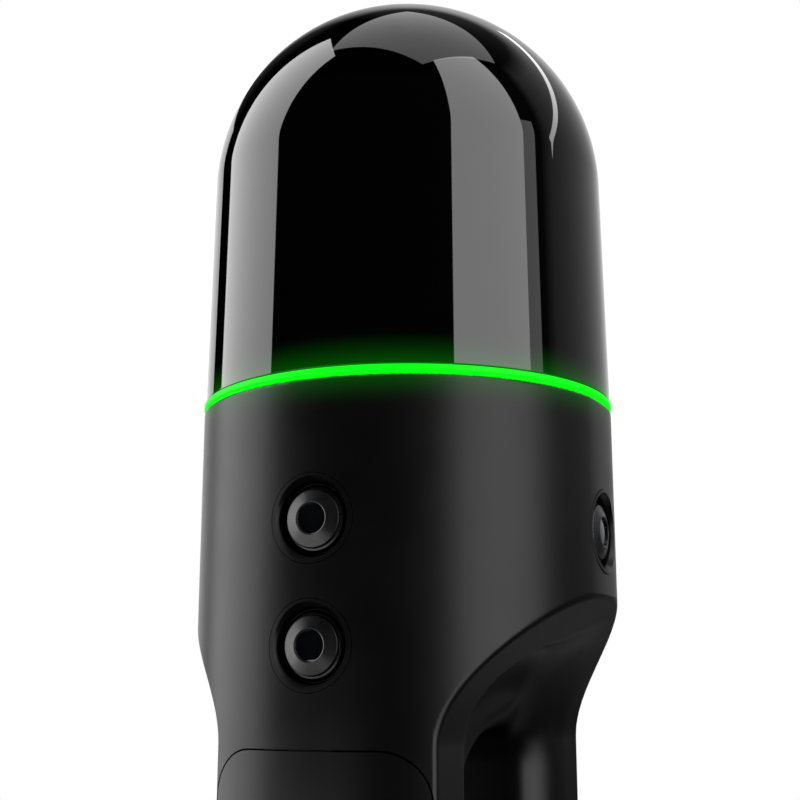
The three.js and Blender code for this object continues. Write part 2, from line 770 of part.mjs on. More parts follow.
function addElectronics() {
  add("main_board", box([-24, 24], [18, 19.6], [163, 185]), "board");
  add("heat_spreader", box([-20, 20], [20, 23.5], [163, 185]), "aluminium");
  add("power_board", box([-13, 13], [9.4, 11], [138, 160]), "board");
  add("imu_module", box([-8, 8], [-12, 4], [138, 143]), "aluminium");
  add("board_ribbon", boardRibbon(), "ribbon");
}

function addCameras() {
  CAMERAS.forEach(({ name, azimuth, height }) => {
    const axis = outward(azimuth, height);
    add(`${name}_bezel`, cameraBezel(), "anodised", axis);
    add(`${name}_barrel`, cameraBarrel(), "blackSteel", axis);
    add(`${name}_glass`, cameraGlass(), "glass", axis);
    add(`${name}_sensor`, cameraSensor(), "board", axis);
  });
}

function addButton() {
  const axis = outward(180, BUTTON.height);
  add("power_button", powerButton(), "plastic", axis);
  const { inner, outer, back, front } = BUTTON_SEAL;
  add("button_seal", tube(inner, outer, back, front), "rubber", axis);
  add("button_switch", buttonSwitch(), "plastic", axis);
}

function addBatteryBay() {
  add("battery_pack", batteryPack(), "battery");
  add("battery_contacts", box([-8, 8], [-23.5, -18.8], [121.3, 127.2]), "copper");
  add("battery_catch", batteryCatch(), "plastic");
  add("usb_port", usbPort(), "steel");
  add("battery_door", batteryDoor(), "anodised");
  add("door_seal", geometryOf(sealFrame()), "rubber");
  add("door_latch", doorLatch(), "plastic");
  add("hinge_pin", crossRod(HINGE.pin, [-HINGE.halfLength, HINGE.halfLength], HINGE.y, HINGE.z), "steel");
}

function addScanHead() {
  add("turret_yoke", turretYoke(), "aluminium");
  add("bearing_inner_race", tube(5.3, 8.1, 188, 194.6), "steel");
  add("motor_rotor", tube(5.3, 9, 177.5, 186.2), "blackSteel");
  add("encoder_disc", tube(5.3, 13, 175, 175.8), "steel");
  add("laser_module", laserModule(), "plastic");
  add("mirror_motor", mirrorMotor(), "blackSteel");
  add("mirror_hub", mirrorHub(), "aluminium");
  add("scan_mirror", scanMirror(), "mirror");
}

addShell();
addDome();
addDeck();
addElectronics();
addCameras();
addButton();
addBatteryBay();
addScanHead();

export default scanner;
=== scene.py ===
"""Looks of a handheld imaging laser scanner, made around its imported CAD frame.

Lengths are millimetres until an object is made. +Z is up and the front cameras look
along -Y. An azimuth is in degrees from the front, positive towards +X.
"""
import json
import math
from itertools import product

import bmesh
import bpy
import numpy as np
from mathutils import Matrix, Vector

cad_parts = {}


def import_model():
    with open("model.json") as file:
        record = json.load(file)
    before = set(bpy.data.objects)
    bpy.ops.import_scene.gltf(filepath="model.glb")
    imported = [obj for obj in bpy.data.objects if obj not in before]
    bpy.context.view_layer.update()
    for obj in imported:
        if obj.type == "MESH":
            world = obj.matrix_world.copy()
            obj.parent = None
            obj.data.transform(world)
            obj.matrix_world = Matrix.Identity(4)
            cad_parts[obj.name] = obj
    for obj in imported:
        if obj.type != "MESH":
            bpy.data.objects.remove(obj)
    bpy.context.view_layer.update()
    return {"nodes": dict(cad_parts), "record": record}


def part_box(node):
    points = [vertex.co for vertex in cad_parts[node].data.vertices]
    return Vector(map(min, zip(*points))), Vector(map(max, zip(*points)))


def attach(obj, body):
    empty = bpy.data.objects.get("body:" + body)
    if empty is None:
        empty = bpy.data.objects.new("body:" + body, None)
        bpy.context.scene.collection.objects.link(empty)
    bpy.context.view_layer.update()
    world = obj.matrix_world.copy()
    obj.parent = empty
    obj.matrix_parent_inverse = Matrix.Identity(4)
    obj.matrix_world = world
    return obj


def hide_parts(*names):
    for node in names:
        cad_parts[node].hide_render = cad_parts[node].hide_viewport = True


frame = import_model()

MM = 0.001


def extent(node):
    """Lowest and highest corners of a CAD node, in millimetres."""
    low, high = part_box(node)
    return np.array(low) / MM, np.array(high) / MM


BODY_OF = {n: b for b, nodes in frame["record"]["behaviour"]["bodies"].items() for n in nodes}
SLOT_OF = {part["node"]: part["material_slot"] for part in frame["record"]["subparts"]}

# ------------------------------------------------------------------ driving dimensions

RADIUS = extent("main_housing")[1][0]
HOUSING_BOTTOM = extent("main_housing")[0][2]
HOUSING_TOP = extent("main_housing")[1][2]
RING_BOTTOM = extent("light_ring")[0][2]
RING_TOP = extent("light_ring")[1][2]
RING_RADIUS = extent("light_ring")[1][0]
DOME_BOTTOM = extent("dome")[0][2]
DOME_TOP = extent("dome")[1][2]
DOME_RADIUS = extent("dome")[1][0]
GAP = 0.3  # clearance between neighbouring pieces

# The grip: a ruled sweep cut into both sides, a pocket in each flank and a finger slot.
WAIST_CHORD = 34.25  # half the width of a column's face, where the flanks are narrowest
WAIST_RISE = 26.0  # height of the sweep out to the full radius
WAIST_TOP = 131.6
WAIST_BOTTOM = 51.0
WAIST_FLARE = 2.2  # how far the flank leans out towards the back, for the palm
FLARE_REACH = 32.0
POCKET_HALF = 24.1
POCKET_RISE = 17.6
POCKET_FLOOR = 18.0
POCKET_TILT = 0.16
POCKET_TILT_FROM = -16.0
POCKET_FILLET = 9.0
SLOT_HALF = 15.5
SLOT_TOP = 133.8
SLOT_BOTTOM = 48.8
SLOT_FRONT_CORNER, SLOT_REAR_CORNER = 14.0, 8.0
POCKET_EDGE = 7.0  # extra rounding of the pocket's edge at its rear
SLOT_EDGE, SLOT_REAR_EDGE = 4.0, 4.0  # rounding of the slot's edge, and what its rear adds
EDGE = 0.7  # rounding of the housing's crisp edges
RIM = 0.5  # rounding of its upper and lower rim
SHARP = 35  # degrees; an edge that turns by more is shaded as an edge

CAMERA_AZIMUTH = {"front_upper": 0, "front_lower": 0, "right": 90, "left": -90}
BORE = 7.8  # radius of a camera's hole
BORE_FLOOR = 29.0
OUTSIDE = 45.0  # a distance from the axis that is past the skin


# ------------------------------------------------------------------ outlines


def rounded(points, radius, steps=5):
    """A closed outline with each corner replaced by an arc of that radius.

    radius is one number, or one for each corner."""
    radii = np.broadcast_to(radius, len(points))
    outline = []
    for i, corner in enumerate(points):
        corner = np.array(corner, float)
        before = np.array(points[i - 1], float) - corner
        after = np.array(points[(i + 1) % len(points)], float) - corner
        to_before = before / np.linalg.norm(before)
        to_after = after / np.linalg.norm(after)
        half = math.acos(np.clip(to_before @ to_after, -1, 1)) / 2
        reach = radii[i] / max(math.tan(half), 1e-6)
        if radii[i] == 0 or reach < 1e-4:
            outline.append(tuple(corner))
            continue
        start, end = corner + to_before * reach, corner + to_after * reach
        weight = math.sin(half)
        for t in np.linspace(0, 1, steps):
            a, b, c = (1 - t) ** 2, 2 * weight * t * (1 - t), t * t
            outline.append(tuple((a * start + b * corner + c * end) / (a + b + c)))
    return outline


def rectangle(low, high, radius=0.0, steps=5):
    corners = [(low[0], low[1]), (high[0], low[1]), (high[0], high[1]), (low[0], high[1])]
    return rounded(corners, radius, steps)


# ------------------------------------------------------------------ solids


def put(name, data):
    """An object for a mesh, a light or a camera, in the scene."""
    thing = bpy.data.objects.new(name, data)
    bpy.context.scene.collection.objects.link(thing)
    return thing


def new_object(name, vertices, faces):
    """An object from points in millimetres, its faces turned outward."""
    mesh = bpy.data.meshes.new(name)
    mesh.from_pydata((np.asarray(vertices, float) * MM).tolist(), [], faces)
    work = bmesh.new()
    work.from_mesh(mesh)
    bmesh.ops.recalc_face_normals(work, faces=work.faces)
    work.to_mesh(mesh)
    work.free()
    return put(name, mesh)


def turned(name, profile, segments=128):
    """A solid turned about Z from a closed profile of (radius, height)."""
    angles = np.arange(segments) * 2 * math.pi / segments
    vertices, rings = [], []
    for radius, height in profile:
        if abs(radius) < 1e-9:
            rings.append([len(vertices)] * segments)
            vertices.append((0, 0, height))
        else:
            rings.append(list(range(len(vertices), len(vertices) + segments)))
            vertices += [(radius * math.cos(a), radius * math.sin(a), height) for a in angles]
    faces = []
    for lower, upper in zip(rings, rings[1:] + rings[:1]):
        for i in range(segments):
            j = (i + 1) % segments
            corners = list(dict.fromkeys([lower[i], lower[j], upper[j], upper[i]]))
            if len(corners) > 2:
                faces.append(corners)
    return new_object(name, vertices, faces)


ALONG = {"X": (1, 2, 0), "Y": (0, 2, 1), "Z": (0, 1, 2)}  # the outline's axes, then the extrusion's


def prism(name, outline, low, high, axis="Z"):
    """An outline extruded along an axis. Along Y the outline is in X and Z."""
    order = ALONG[axis]
    count = len(outline)
    vertices = np.zeros((2 * count, 3))
    for end, level in enumerate((low, high)):
        rows = slice(end * count, (end + 1) * count)
        vertices[rows, order[0]] = [p[0] for p in outline]
        vertices[rows, order[1]] = [p[1] for p in outline]
        vertices[rows, order[2]] = level
    sides = [[i, (i + 1) % count, count + (i + 1) % count, count + i] for i in range(count)]
    ends = [list(range(count)), list(range(count, 2 * count))]
    return new_object(name, vertices, sides + ends)


def block(name, low, high, radius=0.0):
    """A box between two corners, its upright edges rounded."""
    return prism(name, rectangle(low[:2], high[:2], radius), low[2], high[2])


def rod(name, radius, low, high, axis="Z", across=(0.0, 0.0), segments=64):
    """A round bar along an axis, at a place across it."""
    angles = np.arange(segments) * 2 * math.pi / segments
    outline = [(across[0] + radius * math.cos(a), across[1] + radius * math.sin(a)) for a in angles]
    return prism(name, outline, low, high, axis)


def settle(thing):
    """Applies an object's modifiers."""
    seen = bpy.context.evaluated_depsgraph_get()
    mesh = bpy.data.meshes.new_from_object(thing.evaluated_get(seen))
    thing.modifiers.clear()
    thing.data = mesh
    return thing


def combine(thing, others, operation):
    """Joins, cuts or intersects a solid with others, which are used up."""
    for other in others:
        modifier = thing.modifiers.new("solid", "BOOLEAN")
        modifier.operation = operation
        modifier.solver = "MANIFOLD"
        modifier.object = other
    bpy.context.view_layer.update()
    settle(thing)
    for other in others:
        bpy.data.objects.remove(other)
    return thing


def cut(thing, *others):
    return combine(thing, others, "DIFFERENCE")


def join(thing, *others):
    return combine(thing, others, "UNION")


def keep(thing, *others):
    return combine(thing, others, "INTERSECT")


def soften(thing, width):
    """Rounds the sharp edges."""
    work = bmesh.new()
    work.from_mesh(thing.data)
    bmesh.ops.remove_doubles(work, verts=work.verts, dist=0.004 * MM)
    bmesh.ops.dissolve_limit(
        work, angle_limit=math.radians(0.5), verts=work.verts, edges=work.edges
    )
    work.to_mesh(thing.data)
    work.free()
    modifier = thing.modifiers.new("edges", "BEVEL")
    modifier.width = width * MM
    modifier.segments = 2
    modifier.limit_method = "ANGLE"
    modifier.angle_limit = math.radians(SHARP)
    modifier.harden_normals = False
    return settle(thing)


def place(thing, matrix):
    thing.data.transform(matrix)
    return thing


def outward(azimuth, height):
    """Takes +Z to a horizontal direction, at a height in millimetres."""
    turn = Matrix.Rotation(math.radians(azimuth), 4, "Z") @ Matrix.Rotation(math.pi / 2, 4, "X")
    return Matrix.Translation((0, 0, height * MM)) @ turn


def shade(thing, angle):
    """Smooth shading, split at edges sharper than an angle and weighted by face area."""
    thing.data.polygons.foreach_set("use_smooth", [True] * len(thing.data.polygons))
    thing.data.set_sharp_from_angle(angle=math.radians(angle))
    modifier = thing.modifiers.new("normals", "WEIGHTED_NORMAL")
    modifier.keep_sharp = True
    return settle(thing)


def dress(thing, *nodes, angle=SHARP, smooth=True):
    """Makes an object stand for CAD nodes, with the body and finish of the first one."""
    if smooth:
        shade(thing, angle)
    thing.data.materials.clear()
    thing.data.materials.append(finish_of(nodes[0]))
    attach(thing, BODY_OF[nodes[0]])
    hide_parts(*nodes)
    return thing


# ------------------------------------------------------------------ finishes


class Finish:
    """A node material around one Principled shader, in object coordinates."""

    def __init__(self, name, color, roughness, metallic=0.0, **sockets):
        self.material = bpy.data.materials.new(name)
        self.material.use_nodes = True
        self.tree = self.material.node_tree
        self.shader = self.tree.nodes["Principled BSDF"]
        self.place = self.node("ShaderNodeTexCoord").outputs["Object"]
        self.set("Base Color", (*color, 1))
        self.set("Roughness", roughness)
        self.set("Metallic", metallic)
        for socket, value in sockets.items():
            self.set(socket.replace("_", " "), value)

    def node(self, kind, **settings):
        made = self.tree.nodes.new(kind)
        for key, value in settings.items():
            setattr(made, key, value)
        return made

    def link(self, source, target):
        self.tree.links.new(source, target)

    def set(self, socket, value):
        self.shader.inputs[socket].default_value = value

    def noise(self, size, detail=2.0, stretch=(1, 1, 1)):
        """Noise whose features are about a size in millimetres."""
        mapping = self.node("ShaderNodeMapping")
        mapping.inputs["Scale"].default_value = [k / (size * MM) for k in stretch]
        self.link(self.place, mapping.inputs["Vector"])
        texture = self.node("ShaderNodeTexNoise")
        texture.inputs["Scale"].default_value = 1.0
        texture.inputs["Detail"].default_value = detail
        self.link(mapping.outputs["Vector"], texture.inputs["Vector"])
        return texture.outputs["Fac"]

    def bands(self, size, axis="Z"):
        """Regular bands of a period in millimetres."""
        texture = self.node("ShaderNodeTexWave", wave_type="BANDS", bands_direction=axis)
        texture.inputs["Scale"].default_value = 0.314 / (size * MM)  # 0.314 apart at scale 1
        texture.inputs["Distortion"].default_value = 0.0
        self.link(self.place, texture.inputs["Vector"])
        return texture.outputs["Fac"]

    def between(self, value, low, high, start=0.3, end=0.7):
        """A number that goes from low to high as a value goes from start to end."""
        spread = self.node("ShaderNodeMapRange")
        for socket, number in zip(("From Min", "From Max", "To Min", "To Max"), (start, end, low, high)):
            spread.inputs[socket].default_value = number
        self.link(value, spread.inputs["Value"])
        return spread.outputs["Result"]

    def colors(self, value, first, second, start=0.3, end=0.7):
        """Base colour from first to second as a value goes from start to end."""
        mix = self.node("ShaderNodeMix", data_type="RGBA")
        mix.inputs["A"].default_value = (*first, 1)
        mix.inputs["B"].default_value = (*second, 1)
        self.link(self.between(value, 0, 1, start, end), mix.inputs["Factor"])
        self.link(mix.outputs["Result"], self.shader.inputs["Base Color"])
        return self

    def rough(self, value, low, high):
        self.link(self.between(value, low, high), self.shader.inputs["Roughness"])
        return self

    def bump(self, value, depth, strength=1.0):
        """Relief of a depth in millimetres."""
        relief = self.node("ShaderNodeBump")
        relief.inputs["Distance"].default_value = depth * MM
        relief.inputs["Strength"].default_value = strength
        self.link(value, relief.inputs["Height"])
        if self.shader.inputs["Normal"].links:
            self.link(self.shader.inputs["Normal"].links[0].from_socket, relief.inputs["Normal"])
        self.link(relief.outputs["Normal"], self.shader.inputs["Normal"])
        return self

    def paint_ring_glow(self, strength, above, below):
        """Painted glow: emission that stands in for the light the ring spills on a surface, fading over
        a height on each side.
        """
        split = self.node("ShaderNodeSeparateXYZ")
        self.link(self.place, split.inputs[0])
        middle = (RING_BOTTOM + RING_TOP) / 2
        total = None
        for side, reach in ((1, above), (-1, below)):
            low, high = middle * MM, (middle + side * reach) * MM
            fade = self.between(split.outputs["Z"], 1, 0, low, high)
            curve = self.node("ShaderNodeMath", operation="POWER")
            self.link(fade, curve.inputs[0])
            curve.inputs[1].default_value = 2.2
            total = curve.outputs[0] if total is None else self.times(total, curve.outputs[0])
        scale = self.node("ShaderNodeMath", operation="MULTIPLY")
        self.link(total, scale.inputs[0])
        scale.inputs[1].default_value = strength
        self.set("Emission Color", (*GLOW, 1))
        self.link(scale.outputs[0], self.shader.inputs["Emission Strength"])
        return self

    def times(self, first, second):
        """The product of two values."""
        both = self.node("ShaderNodeMath", operation="MULTIPLY")
        self.link(first, both.inputs[0])
        self.link(second, both.inputs[1])
        return both.outputs[0]


GLOW = (0.002, 1.0, 0.004)


def anodised_housing():
    """Bead-blasted aluminium, anodised black."""
    look = Finish("anodised_housing", (0.001, 0.001, 0.001), 0.35, Specular_IOR_Level=0.23)
    look.colors(look.noise(14, 4), (0.0010, 0.0009, 0.0009), (0.0016, 0.0015, 0.0014))
    look.rough(look.noise(7, 5), 0.335, 0.365)
    # painted glow: the ring's light spilling onto the housing, as emission by height
    look.paint_ring_glow(0.09, 6, 7)
    return look.bump(look.noise(0.22, 2), 0.004, 0.3)


def dome_gloss():
    """Moulded black window, polished, with the faintest flow in its surface."""
    look = Finish("dome_gloss", (0.0002, 0.0002, 0.0003), 0.03, Specular_IOR_Level=0.5)
    look.rough(look.noise(30, 3), 0.018, 0.035)
    # painted glow: the ring's light spilling onto the dome, as emission by height
    look.paint_ring_glow(0.09, 7, 6)
    return look.bump(look.noise(38, 1), 0.02, 0.15)


def light_guide():
    """Frosted guide lit by the LED board below it."""
    look = Finish("light_guide", (0.0, 0.2, 0.005), 0.5, Specular_IOR_Level=0.1)
    look.set("Emission Color", (*GLOW, 1))
    look.link(look.between(look.noise(9, 1), 0.9, 1.0), look.shader.inputs["Emission Strength"])
    return look


def rubber(name, dark, light, grain):
    look = Finish(name, dark, 0.8)
    look.colors(look.noise(6, 4), dark, light)
    look.rough(look.noise(2, 3), 0.72, 0.9)
    return look.bump(look.noise(grain, 2), 0.02, 0.5)


def foot_rubber():
    return rubber("foot_rubber", (0.012, 0.012, 0.012), (0.022, 0.022, 0.021), 0.5)


def seal_rubber():
    return rubber("seal_rubber", (0.008, 0.008, 0.008), (0.015, 0.015, 0.015), 0.3)


def metal(name, dark, light, low, high, grain=0.5):
    """Worked metal: streaks along one axis, uneven gloss."""
    stretch = (1, 1, 12)
    look = Finish(name, light, low, 1.0)
    look.colors(look.noise(grain * 6, 4, stretch), dark, light)
    look.rough(look.noise(grain * 4, 3, stretch), low, high)
    return look.bump(look.noise(grain, 2, stretch), 0.004, 0.4)


def fastener_steel():
    return metal("fastener_steel", (0.10, 0.10, 0.105), (0.2, 0.2, 0.205), 0.25, 0.42)


def machined_aluminium():
    return metal("machined_aluminium", (0.5, 0.51, 0.53), (0.66, 0.67, 0.69), 0.22, 0.4)


def bearing_steel():
    return metal("bearing_steel", (0.45, 0.46, 0.48), (0.62, 0.63, 0.65), 0.12, 0.25)


def port_steel():
    return metal("port_steel", (0.42, 0.42, 0.43), (0.6, 0.6, 0.62), 0.2, 0.35, 0.3)


def winding_copper():
    """Copper wire laid in turns."""
    look = metal("winding_copper", (0.55, 0.24, 0.10), (0.80, 0.42, 0.2), 0.25, 0.4)
    return look.bump(look.bands(0.5), 0.12, 0.8)


def motor_black():
    """Black satin aluminium of the lens barrels and motors."""
    look = Finish("motor_black", (0.004, 0.004, 0.004), 0.28, Specular_IOR_Level=0.55)
    look.colors(look.noise(3, 3), (0.003, 0.003, 0.003), (0.006, 0.006, 0.006))
    look.rough(look.noise(1.5, 3), 0.26, 0.32)
    return look.bump(look.noise(0.2, 2), 0.002, 0.3)


def moulded(name, dark, light, low, high):
    """Moulded plastic with a fine spark-eroded texture."""
    look = Finish(name, dark, low)
    look.colors(look.noise(8, 4), dark, light)
    look.rough(look.noise(1.2, 3), low, high)
    return look.bump(look.noise(0.25, 3), 0.02, 0.5)


def black_plastic():
    return moulded("black_plastic", (0.012, 0.012, 0.013), (0.02, 0.02, 0.021), 0.42, 0.56)


def button_plastic():
    return moulded("button_plastic", (0.016, 0.016, 0.017), (0.024, 0.024, 0.025), 0.34, 0.46)


def battery_case():
    return moulded("battery_case", (0.03, 0.031, 0.033), (0.045, 0.046, 0.049), 0.45, 0.6)


def circuit_board():
    """Solder mask over copper tracks, on a 1.3 mm grid."""
    look = Finish("circuit_board", (0.01, 0.07, 0.03), 0.3)
    brick = look.node("ShaderNodeTexBrick")
    brick.inputs["Scale"].default_value = 1 / (5 * MM)
    brick.inputs["Mortar Size"].default_value = 0.04
    look.link(look.place, brick.inputs["Vector"])
    look.colors(brick.outputs["Fac"], (0.006, 0.05, 0.02), (0.02, 0.11, 0.05), 0.2, 0.8)
    look.rough(look.noise(2, 2), 0.25, 0.4)
    return look.bump(brick.outputs["Fac"], 0.03, 0.6)


def ribbon_film():
    """Polyimide film with its tracks showing through."""
    look = Finish("ribbon_film", (0.6, 0.27, 0.05), 0.35)
    look.colors(look.bands(1.0, "X"), (0.42, 0.17, 0.03), (0.68, 0.34, 0.08))
    return look.bump(look.bands(1.0, "X"), 0.03, 0.5)


def lens_glass():
    """Dark coated glass: nearly black, with a faint cool bloom of the coating."""
    look = Finish("lens_glass", (0.002, 0.0025, 0.004), 0.02, Specular_IOR_Level=0.5)
    look.set("Coat Weight", 0.6)
    look.set("Coat Roughness", 0.01)
    look.set("Coat Tint", (0.75, 0.85, 1.0, 1))
    look.colors(look.noise(4, 2), (0.0015, 0.0015, 0.002), (0.003, 0.003, 0.004))
    return look


def scan_mirror_coating():
    look = Finish("scan_mirror_coating", (0.9, 0.75, 0.42), 0.03, 1.0)
    look.rough(look.noise(5, 3), 0.02, 0.05)
    return look


FINISHES = {
    make.__name__: make
    for make in (
        anodised_housing, dome_gloss, light_guide, foot_rubber, seal_rubber, fastener_steel,
        machined_aluminium, bearing_steel, port_steel, winding_copper, motor_black, black_plastic,
        button_plastic, battery_case, circuit_board, ribbon_film, lens_glass, scan_mirror_coating,
    )
}
made_finishes = {}


def finish_of(node):
    """The material of a CAD node's slot, made once."""
    slot = SLOT_OF[node]
    if slot not in made_finishes:
        made_finishes[slot] = FINISHES[slot]().material
    return made_finishes[slot]


# ------------------------------------------------------------------ housing surface


def round_max(a, b, radius):
    """Where two half spaces meet, with the edge rounded."""
    near = np.hypot(np.maximum(radius + a, 0), np.maximum(radius + b, 0))
    return np.minimum(-radius, np.maximum(a, b)) + near


def ease(low, high, value):
    t = np.clip((value - low) / (high - low), 0, 1)
    return t * t * (3 - 2 * t)


def waist_width(y, z):
    """Half the width of the grip, out to the full radius at both ends of the sweep."""
    above = np.maximum(np.maximum(z - WAIST_TOP, WAIST_BOTTOM - z), 0)
    t = np.clip(above / WAIST_RISE, 0, 1)
    flat = np.sqrt(RADIUS**2 - WAIST_CHORD**2 * (1 - t * t))
    return flat + WAIST_FLARE * (np.maximum(y, 0) / FLARE_REACH) ** 2


def waist_field(x, y, z):
    width, step = waist_width(y, z), 0.05
    slope_y = (waist_width(y + step, z) - waist_width(y - step, z)) / (2 * step)
    slope_z = (waist_width(y, z + step) - waist_width(y, z - step)) / (2 * step)
    return (np.abs(x) - width) / np.sqrt(1 + slope_y**2 + slope_z**2)


def pocket_field(x, y, z):
    """Negative inside a pocket: an arch in side view, over a floor that tilts outward."""
    middle = (WAIST_TOP + WAIST_BOTTOM) / 2
    rise = np.maximum(np.abs(z - middle) - (WAIST_TOP - middle), 0)
    share = np.hypot(y / POCKET_HALF, rise / POCKET_RISE)
    slope = np.hypot(y / POCKET_HALF**2, rise / POCKET_RISE**2) + 1e-6
    arch = (share - 1) * share / slope
    floor = POCKET_FLOOR + POCKET_TILT * (y - POCKET_TILT_FROM)
    return round_max(arch, (floor - np.abs(x)) / math.hypot(1, POCKET_TILT), POCKET_FILLET)


def slot_field(y, z):
    """Negative inside the finger slot, which runs through from side to side."""
    corner = np.where(y < 0, SLOT_FRONT_CORNER, SLOT_REAR_CORNER)
    across = np.abs(y) - SLOT_HALF + corner
    middle, half = (SLOT_TOP + SLOT_BOTTOM) / 2, (SLOT_TOP - SLOT_BOTTOM) / 2
    along = np.abs(z - middle) - half + corner
    outside = np.hypot(np.maximum(across, 0), np.maximum(along, 0))
    return outside + np.minimum(np.maximum(across, along), 0) - corner


def housing_field(x, y, z):
    """Negative inside the housing's outer shape. The grip's edges grow rounder to the rear."""
    middle, half = (HOUSING_TOP + HOUSING_BOTTOM) / 2, (HOUSING_TOP - HOUSING_BOTTOM) / 2
    body = round_max(np.hypot(x, y) - RADIUS, np.abs(z - middle) - half, RIM)
    body = round_max(body, waist_field(x, y, z), EDGE)
    body = round_max(body, -pocket_field(x, y, z), EDGE + POCKET_EDGE * ease(-4, 16, y))
    return round_max(body, -slot_field(y, z), SLOT_EDGE + SLOT_REAR_EDGE * ease(-6, 8, y))


def gradient(points, step=0.02):
    slopes = []
    for axis in range(3):
        shift = np.zeros(3)
        shift[axis] = step
        ahead, behind = (points + shift).T, (points - shift).T
        slopes.append((housing_field(*ahead) - housing_field(*behind)) / (2 * step))
    return np.stack(slopes, axis=1)


def onto_surface(points, rounds=3):
    """Moves points along the field's slope to its zero level."""
    for _ in range(rounds):
        slope = gradient(points)
        share = housing_field(*points.T) / np.maximum((slope**2).sum(1), 0.1)
        points = points - np.clip(share, -0.5, 0.5)[:, None] * slope
    return points


def surface_net(step):
    """Points and quads of the field's zero level, one point for each grid cell it crosses."""
    reach = RADIUS + 1.5 * step
    sides = np.arange(-reach, reach + step, step)
    levels = np.arange(HOUSING_BOTTOM - 1.5 * step, HOUSING_TOP + 2 * step, step)
    grid = np.meshgrid(sides, sides, levels, indexing="ij")
    inside = housing_field(*grid) < 0
    count = sum(
        inside[i : i - 1 or None, j : j - 1 or None, k : k - 1 or None].astype(np.int8)
        for i, j, k in product((0, 1), repeat=3)
    )
    crossed = (count > 0) & (count < 8)
    index = np.full(crossed.shape, -1)
    index[crossed] = np.arange(crossed.sum())
    low = np.array([sides[0], sides[0], levels[0]])
    points = low + (np.argwhere(crossed) + 0.5) * step
    quads = []
    for axis in range(3):
        order = (axis, (axis + 1) % 3, (axis + 2) % 3)
        filled, cell = inside.transpose(order), index.transpose(order)
        at = filled[:-1, 1:-1, 1:-1]
        i, j, k = np.nonzero(at != filled[1:, 1:-1, 1:-1])
        around = [cell[i, j, k], cell[i, j + 1, k], cell[i, j + 1, k + 1], cell[i, j, k + 1]]
        quad = np.stack(around, axis=1)
        quads.append(np.where(at[i, j, k][:, None], quad, quad[:, ::-1]))
    return points, np.concatenate(quads)


def relax(points, quads, rounds=3):
    """Evens out the points over the surface."""
    edges = np.concatenate([quads[:, [i, (i + 1) % 4]] for i in range(4)])
    degree = np.bincount(edges[:, 0], minlength=len(points))[:, None]
    points = onto_surface(points, 4)
    for _ in range(rounds):
        total = np.zeros_like(points)
        for axis in range(3):
            total[:, axis] = np.bincount(edges[:, 0], points[edges[:, 1], axis], len(points))
        points = onto_surface(0.5 * points + 0.5 * total / degree, 1)
    return onto_surface(points, 2)


def points_of(mesh):
    flat = np.empty(len(mesh.vertices) * 3)
    mesh.vertices.foreach_get("co", flat)
    return flat.reshape(-1, 3) / MM


def housing_blank(step=0.6, kept=0.16):
    """The housing's outer shape as a solid, with its mesh thinned where it is nearly flat."""
    points, quads = surface_net(step)
    mesh = bpy.data.meshes.new("main_housing")
    mesh.from_pydata((relax(points, quads) * MM).tolist(), [], quads.tolist())
    thing = put("main_housing", mesh)
    modifier = thing.modifiers.new("thin", "DECIMATE")
    modifier.ratio = kept
    settle(thing)
    moved = onto_surface(points_of(thing.data))
    thing.data.vertices.foreach_set("co", (moved * MM).ravel())
    return thing


def smooth_by_field(thing):
    """Exact normals on the outer surface, ordinary ones where something was cut."""
    mesh = thing.data
    mesh.polygons.foreach_set("use_smooth", [True] * len(mesh.polygons))
    mesh.set_sharp_from_angle(angle=math.radians(SHARP))
    count = len(mesh.loops)
    normals, corner = np.empty(count * 3), np.empty(count, int)
    mesh.corner_normals.foreach_get("vector", normals)
    mesh.loops.foreach_get("vertex_index", corner)
    face_normals, sizes = np.empty(len(mesh.polygons) * 3), np.empty(len(mesh.polygons), int)
    mesh.polygons.foreach_get("normal", face_normals)
    mesh.polygons.foreach_get("loop_total", sizes)
    normals = normals.reshape(-1, 3)
    of_face = np.repeat(face_normals.reshape(-1, 3), sizes, axis=0)
    points = points_of(mesh)
    slope = gradient(points)
    slope /= np.linalg.norm(slope, axis=1, keepdims=True)
    on_skin = np.abs(housing_field(*points.T)) < 0.02
    agree = (slope[corner] * of_face).sum(1) > math.cos(math.radians(40))
    use = on_skin[corner] & agree
    normals[use] = slope[corner][use]
    mesh.normals_split_custom_set(normals.tolist())


# ------------------------------------------------------------------ housing

CHAMBER_RADIUS, CHAMBER_FLOOR = 36.5, 162.0
DECK_SEAT_RADIUS, DECK_SEAT_LEVEL = 37.6, 189.6
COLUMN_HALF = 15.5  # half the width of the hollow in the rear column
BAY_LOW = (-16.3, -37.5, 31.0)
BAY_HIGH = (16.3, -18.5, 127.5)
DOOR_LOW, DOOR_HIGH = extent("battery_door")
DOOR_CORNER = 8.0
DOOR_INNER = 37.4  # radius of its inner face
DOOR_SILL = 19.6  # lower edge of the door's panel, above its hinge
NOTCH_BOTTOM = 15.0
HINGE_Y, HINGE_Z = -37.9, 17.4
HINGE_BARREL, HINGE_PIN = 1.9, 0.9  # radii
LUG_INNER, LUG_OUTER = 7.3, 9.8  # from the middle, along X
SEAL_HALF, SEAL_BOTTOM, SEAL_TOP = 18.9, 26.9, 130.1
SEAL_WIDTH = 1.4
SEAL_CORNER, SEAL_INNER_CORNER = 4.2, 3.0
SEAL_INNER, SEAL_OUTER = 36.3, 37.05  # radii
LATCH_LOW, LATCH_HIGH = extent("door_latch")
LATCH_TRAVEL = 3.6
TAB_HALF, TAB_BOTTOM, TAB_TOP = 3.2, 110.0, 117.6
USB_LOW, USB_HIGH = extent("usb_port")
SCREW_HOLE, SCREW_HEAD = 1.6, 3.3  # radii
BUTTON_CAP, BUTTON_FLANGE = 6.0, 7.0  # radii
BUTTON_HEIGHT = (extent("power_button")[0][2] + extent("power_button")[1][2]) / 2


